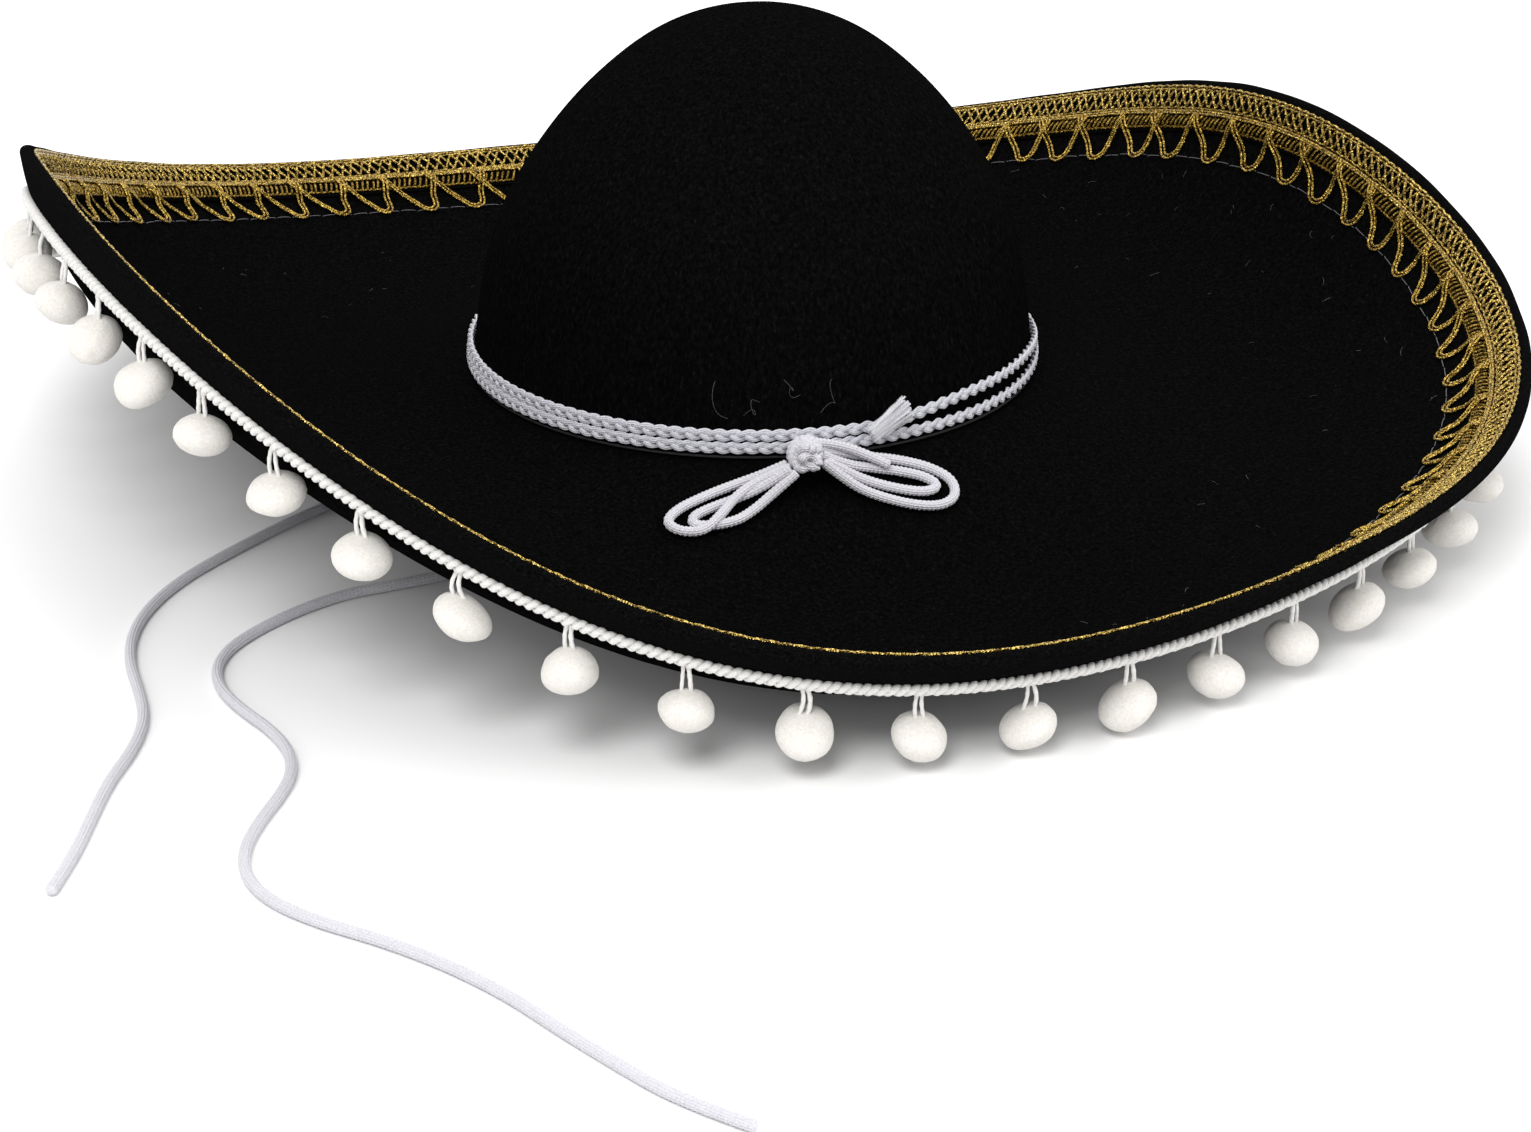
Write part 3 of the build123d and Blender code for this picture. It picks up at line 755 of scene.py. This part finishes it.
def make_loops():
    """Loops of doubled thread that lie on the felt."""
    threads = Threads()
    count = round(RIM_LENGTH / LOOP_PITCH)
    pitch = RIM_LENGTH / count
    line = smooth_line(LOOP_LINE, 64)
    inner = np.clip((line[:, 1] - 15) / 8, 0, 1)
    tangent = np.gradient(np.stack([line[:, 0] * pitch, line[:, 1]], -1), axis=0)
    tangent /= np.linalg.norm(tangent, axis=1)[:, None]
    across = np.stack([-tangent[:, 1], tangent[:, 0]], -1)
    for k in range(count):
        start = k * pitch + rng.normal(0, 0.6)
        stretch = 1 + rng.normal(0, 0.05)
        depth = rng.normal(0, 0.35)
        for side in (-0.72, 0.72):
            length = start + line[:, 0] * pitch * stretch + side * across[:, 0]
            inwards = line[:, 1] + depth * inner + side * across[:, 1]
            height = line[:, 2] + 0.12 * (side > 0)
            threads.tube(on_rim(length, inwards, height), GIMP, 8, ridges=3, depth=0.16, twist=2.2)
    loops = threads.finish("gold_loops", GOLD_LOOP)
    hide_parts("braid_loops")


def make_loop_stitches():
    """Thin grey thread in short runs over the loops' tips."""
    threads = Threads()
    count = round(RIM_LENGTH / LOOP_STITCH_PITCH)
    pitch = RIM_LENGTH / count
    for k in range(count):
        length = np.linspace(0, pitch * 0.86, 9) + k * pitch
        inwards = LOOP_TIPS + rng.normal(0, 0.12) + np.linspace(0, rng.normal(0, 0.2), 9)
        rise = 1.2 + 0.35 * np.sin(np.linspace(0, pi, 9)) ** 0.5
        threads.tube(on_rim(length, inwards, rise), 0.14, 5)
    stitches = threads.finish("grey_loop_stitches", STITCH_LOOK)
    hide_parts("loop_stitching")


# ---- fringe ----
HEADER_SPAN = (9.5, 13.5)  # inwards from the rim
HEADER_FACE = 2.24  # under the mid surface
HEADER_DEPTH = 1.8
HEADER_TURN = 5.4


def make_header():
    """A twisted cotton cord, pressed flat, with a bump at every turn of its two thick strands."""
    threads = Threads()
    turns = round(RIM_LENGTH / HEADER_TURN)
    lengths = np.arange(0, RIM_LENGTH, 0.28)
    lengths = lengths * (RIM_LENGTH / (lengths[-1] + 0.28))
    phase = 2 * pi * turns * lengths / RIM_LENGTH
    middle = (HEADER_SPAN[0] + HEADER_SPAN[1]) / 2
    below = HEADER_FACE + HEADER_DEPTH / 2 + 0.25
    for strand in (0, pi):
        inwards = middle + 1.15 * np.sin(phase + strand)
        above = -below + 0.62 * np.cos(phase + strand)
        line = on_rim(lengths, inwards, above)
        size = 1.02 + 0.08 * np.sin(3.1 * phase)
        threads.tube(line, size, 16, closed=True, ridges=6, depth=0.07, twist=1.1)
    header = threads.finish("white_header", COTTON)
    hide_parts("header_tape")


def pompom_place(angle):
    """Foot of the stem and middle of the pompom, as the CAD source places them."""
    angles = np.array([angle])
    foot = on_felt(angles, HEADER_SPAN[1] + 0.1, -HEADER_FACE - HEADER_DEPTH / 2)[0]
    turn = radians(angle)
    foot_r, foot_z = hypot(foot[0], foot[1]), foot[2]
    r, z = foot_r, max(foot_z - STEM_DROP - POMPOM_RISE, POMPOM_LOWEST)
    shares = np.linspace(0, float(brim_width(angle)), 90)
    felt_r, felt_z = mid_surface(np.full(90, angle), shares)
    while np.hypot(felt_r - r, felt_z - z).min() < POMPOM_REACH:
        r += 0.25
    return foot, np.array([r * cos(turn), r * sin(turn), z])


def ball():
    """Points and faces of a fine, even sphere of radius 1."""
    form = bmesh.new()
    bmesh.ops.create_icosphere(form, subdivisions=4, radius=1.0)
    points = np.array([v.co for v in form.verts])
    faces = [[v.index for v in f.verts] for f in form.faces]
    form.free()
    return points, faces


def make_pompoms():
    """Soft balls of cut wool, each a little different, egg-shaped and tilted."""
    points, faces = ball()
    all_points, all_faces = [], []
    for k in range(POMPOMS):
        source = np.random.default_rng(100 + k)
        angle = FIRST_POMPOM + 360 * k / POMPOMS
        _, middle = pompom_place(angle)
        swell = np.zeros(len(points))
        for size, rate in ((0.04, 1.5), (0.018, 3.0), (0.006, 7.0), (0.004, 15.0), (0.003, 32.0)):
            for _ in range(4):
                way = source.normal(size=3)
                way = way / np.linalg.norm(way) * rate
                swell += size * 0.5 * np.sin(points @ way * 1.7 + source.uniform(0, 6.28))
        width = 7.9 + source.normal(0, 0.22)
        height = 6.1 + source.normal(0, 0.25)
        shaped = points * (1 + swell)[:, None] * np.array([width, width * source.uniform(0.94, 1.03), height])
        egg = 1 + 0.10 * points[:, 2] * source.uniform(-1, 0.4)
        shaped[:, :2] *= egg[:, None]
        tilt = source.normal(0, 0.16, 2)
        shaped[:, 2] += shaped[:, 0] * tilt[0] + shaped[:, 1] * tilt[1]
        shaped[:, 2] = np.clip(shaped[:, 2], -6.9, 7.2)
        all_faces += [[v + k * len(points) for v in face] for face in faces]
        all_points.append(shaped + middle)
    pompoms = piece("wool_pompoms", np.concatenate(all_points), all_faces, POMPOM_LOOK)
    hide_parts("pompoms")


def make_stems():
    """Two soft yarns from one place on the header, spreading a little as they reach the pompom."""
    threads = Threads()
    for k in range(POMPOMS):
        source = np.random.default_rng(300 + k)
        angle = FIRST_POMPOM + 360 * k / POMPOMS
        foot, middle = pompom_place(angle)
        along = middle - foot
        reach = np.linalg.norm(along)
        along = along / reach
        side = np.cross(along, foot - np.array([0, 0, foot[2]]))
        side /= np.linalg.norm(side)
        out = np.cross(side, along)
        drift = source.normal(0, 0.9)
        for sign in (-1, 1):
            t = np.linspace(0, 1, 16)[:, None]
            spread = 0.55 + 0.85 * t**0.8
            sway = drift * np.sin(pi * t) + source.normal(0, 0.25) * t
            bow = source.normal(0.25, 0.3) * np.sin(pi * t)
            line = foot + along * t * (reach - 5.0) + side * (sign * spread + sway) + out * bow
            threads.tube(line, 0.62 + source.normal(0, 0.04), 10, ridges=2, depth=0.10, twist=1.3)
    stems = threads.finish("white_stems", COTTON)
    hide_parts("pompom_stems")


# ---- hat band ----
BAND_LOWER = 5.25
BAND_UPPER = 9.07
BAND_MIDDLE = 1.8  # the middle of a plait stands this far off the crown
PLAIT_PITCH = 13.5
PLAIT_SWAY = 1.08  # a strand goes this far up and down, and half as far in and out
PLAIT_DEPTH = 0.55


def crown_radius(height):
    """Outside radius of the crown at a height over its base, read straight along its outline."""
    return np.interp(height, [z for _, z in CROWN_OUTLINE], [r for r, _ in CROWN_OUTLINE])


def make_band(name, node, height, lift, seed):
    """A flat plait of three satin strands round the crown. lift raises it at angles in degrees."""
    threads = Threads()
    radius = float(crown_radius(height)) + BAND_MIDDLE
    turns = round(2 * pi * radius / PLAIT_PITCH)
    columns = 2600
    turn = np.arange(columns) * 2 * pi / columns
    source = np.random.default_rng(seed)
    phase = turns * turn
    raised = lift(np.degrees(turn))
    for strand in range(3):
        own = phase + strand * 2 * pi / 3
        across = PLAIT_SWAY * np.sin(own)
        out = PLAIT_DEPTH * np.sin(2 * own)
        for ply in (-1, 0, 1):
            lean = np.cos(own)
            spread = ply * 0.50
            up = height + raised + across + spread * np.cos(0.55 * lean)
            ring = radius + out + 0.10 * (ply == 0)
            line = np.stack([ring * np.cos(turn), ring * np.sin(turn), RING_HEIGHT + up], -1)
            size = 0.41 + 0.015 * np.sin(5 * turn + source.uniform(0, 6))
            threads.tube(line, size, 9, closed=True, ridges=4, depth=0.08, twist=0.5)
    band = threads.finish(name, SATIN)
    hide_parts(node)


def upper_lift(angles):
    """The upper row leaves the lower one to the right of the knot."""
    middle, half_width, height = 308, 27, 3.3
    return height * np.exp(-((degrees_from(middle, angles) / half_width) ** 4))


def no_lift(angles):
    """The lower row stays level."""
    return 0.0 * angles


def knitted_tube(path, diameter):
    """Points and faces of a knitted cord: columns of small chevron stitches round a soft core."""
    path = np.asarray(path, float)
    gone = length_along(path)
    count = max(12, int(gone[-1] / 0.22))
    path, even = evened(path, gone, count)
    for _ in range(3):
        path[1:-1] = 0.25 * path[:-2] + 0.5 * path[1:-1] + 0.25 * path[2:]
    tangent = np.gradient(path, axis=0)
    tangent /= np.linalg.norm(tangent, axis=1)[:, None]
    up = carried_normal(path, tangent)
    side = np.cross(tangent, up)
    sides = 48
    turn = np.arange(sides) * 2 * pi / sides
    wales = 6
    within = (turn * wales / (2 * pi)) % 1
    leg = np.abs(within - 0.5) * 2
    rib = 1 - np.abs(leg - 0.5) * 2
    course = 1.35
    rows = even[:, None] / course - 0.7 * leg[None, :]
    stitch = np.abs(np.cos(pi * rows))
    swell = 0.80 + 0.25 * np.sqrt(np.clip(rib, 0, 1))[None, :] * (0.2 + 0.8 * stitch**0.8)
    taper = np.clip(np.minimum(even, even[-1] - even) / 0.9, 0, 1)
    swell = swell * (0.62 + 0.38 * np.sqrt(1 - (1 - taper) ** 2))[:, None]
    ring = rings_round(path, side, up, diameter / 2 * swell, turn)
    ring[..., 2] = np.maximum(ring[..., 2], 0.0)
    faces = grid_faces(count, sides, False, True)
    faces.append([k for k in range(sides)])
    faces.append([(count - 1) * sides + k for k in reversed(range(sides))])
    return ring.reshape(-1, 3), faces


def free_cord(name, node, route, diameter):
    """A knitted cord along its CAD route."""
    control = [Vector(p) * MM for p in route]
    line = spline_path([tuple(p) for p in control], 0.0006)
    points, faces = knitted_tube(line / MM, diameter)
    tube = piece(name, points, faces, KNITTED)
    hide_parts(node)


def make_cords():
    """The two chin cords, the four loops of the bow and its tail."""
    free_cord("knitted_chin_cord_right", "chin_cord_right", CHIN_CORD_RIGHT, CHIN_CORD)
    free_cord("knitted_chin_cord_left", "chin_cord_left", CHIN_CORD_LEFT, CHIN_CORD)
    for name, route in BOWS.items():
        free_cord("knitted_" + name, name, route, BOW_CORD)


KNOT_CORD = 3.1
# Turns of the knot: centre (side, up, out), half width, half height, waviness, lean in radians
KNOT_TURNS = [
    ((0.0, 0.2, 0.6), 3.9, 3.6, 0.9, 0.3),
    ((-0.6, 0.5, 2.6), 3.3, 2.3, 0.8, 1.2),
    ((0.9, -0.4, 3.4), 2.6, 1.6, 0.5, -0.5),
    ((0.2, 0.3, -1.6), 4.2, 4.0, 0.6, 0.0),
]


def make_knot():
    """The knot of the bow: closed turns of cord packed against each other."""
    middle = np.array(KNOT_MIDDLE)
    out = np.array([middle[0], middle[1], 0.0])
    out = out / np.linalg.norm(out)
    up = np.array([0.0, 0.0, 1.0])
    side = np.cross(up, out)
    points, faces, start = [], [], 0
    for centre, wide, tall, deep, lean in KNOT_TURNS:
        t = np.linspace(0, 2 * pi, 90)
        across, rise = wide * np.cos(t), tall * np.sin(t)
        a, b = across * cos(lean) - rise * sin(lean), across * sin(lean) + rise * cos(lean)
        far = deep * np.cos(2 * t) + centre[2]
        line = middle + side * (a + centre[0])[:, None] + up * (b + centre[1])[:, None] + out * far[:, None]
        ring, quads = knitted_tube(line, KNOT_CORD)
        points.append(ring)
        faces += [[v + start for v in quad] for quad in quads]
        start += len(ring)
    knot = piece("knitted_knot", np.concatenate(points), faces, KNITTED)
    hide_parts("band_knot")


# ---- small parts ----
SLEEVE_SLANT = (0.86, 0.51)  # its way along: round the hat, and up
YARN_ENDS = 34
LINT_FIBRES = 110
# Longer loose threads on the crown: angle, height over the base, rise, curliness
STRAYS = [(244, 14, 12, -4.0), (247, 15, 5, 6.0), (262, 15, 9, 5.0), (258, 21, 4, -6.0)]


def sleeve_frame():
    """Middle of the CAD's sleeve, and the ways out of the hat, across and along the sleeve."""
    low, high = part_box("band_end_sleeve")
    centre = (np.array(low) + np.array(high)) / 2 / MM
    turn = atan2(centre[1], centre[0])
    out = np.array([cos(turn), sin(turn), 0.0])
    side = np.array([-sin(turn), cos(turn), 0.0])
    along = side * SLEEVE_SLANT[0] + np.array([0.0, 0.0, SLEEVE_SLANT[1]])
    across = side * -SLEEVE_SLANT[1] + np.array([0.0, 0.0, SLEEVE_SLANT[0]])
    return centre, out, across, along


def make_sleeve(source):
    """A thin crumpled film wrapped round the ends of the hat band."""
    centre, out, across, along = sleeve_frame()
    rows, columns = 46, 60
    v = np.linspace(-1, 1, rows)[:, None]
    around_it = np.linspace(0, 2 * pi, columns, endpoint=False)[None, :]
    crumple = sum(
        source.normal() * np.sin(source.uniform(1, 4) * v * 3 + k * around_it + source.uniform(0, 6))
        for k in range(1, 8)
    ) / 9
    wide = 3.6 * (1 + 0.28 * v) + 0.4 * crumple
    deep = 1.3 - 0.5 * v + 0.25 * crumple
    x = np.sign(np.cos(around_it)) * np.abs(np.cos(around_it)) ** 0.6 * wide
    y = np.sin(around_it) * deep
    z = v * 6.8 + 0.6 * np.sin(5 * around_it) * (v > 0.8)
    points = centre + across * x[..., None] + out * y[..., None] + along * z[..., None]
    film = piece("film_sleeve", points.reshape(-1, 3), grid_faces(rows, columns, False, True), FILM_LOOK)
    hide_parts("band_end_sleeve")


def make_yarn_ends(source):
    """The frayed ends of the band's yarns, which come out of the film."""
    centre, out, across, along = sleeve_frame()
    ends = Threads()
    for _ in range(YARN_ENDS):
        start = source.uniform(-2.6, 2.6)
        base = centre + across * start + out * source.uniform(-0.4, 0.9) - along * 7.5
        t = np.linspace(0, 1, 12)[:, None]
        lean = across * (0.6 * start + source.normal(0, 0.4)) + out * source.normal(0.1, 0.3)
        line = base + along * t * source.uniform(13.5, 15.6) + lean * t**2
        ends.tube(line, 0.34, 6)
    frayed = ends.finish("frayed_ends", SATIN)


def dress_cad():
    """Gives the CAD nodes that are shown as they are their own materials."""
    looks = {
        "rim_wire": WIRE_LOOK,
        "wire_ferrule": FERRULE_LOOK,
        "crown_seam": TAPE_LOOK,
        "cord_tab_right": TAPE_LOOK,
        "cord_tab_left": TAPE_LOOK,
        "sweatband": TAPE_LOOK,
    }
    for node, look in looks.items():
        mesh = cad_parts[node].data
        mesh.materials.clear()
        mesh.materials.append(look)


def make_lint():
    """A few fibres and specks that cling to the felt."""
    threads = Threads()
    source = np.random.default_rng(77)
    for _ in range(LINT_FIBRES):
        angle = source.uniform(0, 360)
        inward = source.uniform(28, 92)
        t = np.linspace(0, 1, 8)
        size = source.uniform(0.8, 4.5)
        heading = source.uniform(0, 2 * pi)
        bend = source.normal(0, 1.0)
        step = heading + bend * t
        angles = angle + np.cumsum(np.cos(step)) / 8 * size / 3.0
        inwards = inward + np.cumsum(np.sin(step)) / 8 * size
        height = 1.05 + source.uniform(0.05, 0.45) * np.sin(pi * t)
        threads.tube(on_felt(angles, inwards, height), source.uniform(0.03, 0.07), 4)
    for angle, base, rise, curl in STRAYS:
        t = np.linspace(0, 1, 40)
        turn = np.radians(angle + 3.5 * t * np.sign(curl) + 1.2 * np.sin(curl * t))
        height = base + rise * t + 1.2 * np.sin(curl * 1.7 * t)
        reach = crown_radius(height) + 1.0 + 2.2 * np.sin(pi * t) ** 2
        line = np.stack([reach * np.cos(turn), reach * np.sin(turn), RING_HEIGHT + height], -1)
        threads.tube(line, 0.06, 5)
    lint = threads.finish("lint", LINT_LOOK)


# ---- stage, in metres unless it says otherwise ----
FLOOR_REACH = 9
FLOOR_DROP = 0.0002  # keeps the floor off the faces that lie on the ground
LIGHT_AIM = (0, 0, 0.05)
CAMERA_PLACE = (-409.8, -1054.6, 446.0)  # millimetres
CAMERA_AIM = (3.88, -1.52, -41.85)  # millimetres
CAMERA_LENS = 87.18  # millimetres, on a sensor 36 mm wide


def make_stage():
    """A pale floor that meets a white surround without an edge."""
    mesh = bpy.data.meshes.new("table")
    corners = [(x * FLOOR_REACH, y * FLOOR_REACH, 0) for x, y in ((-1, -1), (1, -1), (1, 1), (-1, 1))]
    mesh.from_pydata(corners, [], [(0, 1, 2, 3)])
    table = new_object("table", mesh)
    table.location.z = -FLOOR_DROP
    look = Look("pale_table", Roughness=0.9, Base_Color=(0.9, 0.9, 0.9, 1), Specular_IOR_Level=0.0)
    mesh.materials.append(look.material)


def soft_light(name, place, size, power):
    """A round area lamp that points at the hat."""
    lamp = bpy.data.lights.new(name, "AREA")
    lamp.shape = "DISK"
    lamp.size = size
    lamp.energy = power
    thing = new_object(name, lamp)
    thing.location = place
    thing.rotation_euler = (Vector(LIGHT_AIM) - Vector(place)).to_track_quat("-Z", "Y").to_euler()


def light_scene():
    """Even white light from all round, with three large soft lamps."""
    world = bpy.data.worlds.new("studio")
    world.use_nodes = True
    world.node_tree.nodes["Background"].inputs["Color"].default_value = (1, 1, 1, 1)
    world.node_tree.nodes["Background"].inputs["Strength"].default_value = 1.0
    bpy.context.scene.world = world
    soft_light("key", (-0.9, -1.3, 1.7), 1.1, 26)
    soft_light("fill", (1.5, -0.9, 1.1), 1.4, 10)
    soft_light("back", (0.3, 1.6, 1.5), 1.4, 14)
    bpy.context.scene.view_settings.view_transform = "Standard"


def place_camera():
    """The photo's own viewpoint."""
    data = bpy.data.cameras.new("photo_camera")
    data.lens = CAMERA_LENS
    data.sensor_width = 36
    data.clip_start, data.clip_end = 0.05, 30
    camera = new_object("photo_camera", data)
    camera.location = Vector(CAMERA_PLACE) * MM
    sight = Vector(CAMERA_AIM) - Vector(CAMERA_PLACE)
    camera.rotation_euler = sight.to_track_quat("-Z", "Y").to_euler()
    bpy.context.scene.camera = camera


place_camera()
make_cords()
make_crown()
make_brim()
make_binding()
make_outer_chain()
make_braid_core()
make_inner_chain()
make_loops()
make_loop_stitches()
make_header()
make_pompoms()
make_stems()
make_band("satin_band_lower", "hat_band_lower", BAND_LOWER, no_lift, 1)
make_band("satin_band_upper", "hat_band_upper", BAND_UPPER, upper_lift, 2)
make_knot()
sleeve_source = np.random.default_rng(21)
make_sleeve(sleeve_source)
make_yarn_ends(sleeve_source)
make_lint()
dress_cad()
make_stage()
light_scene()

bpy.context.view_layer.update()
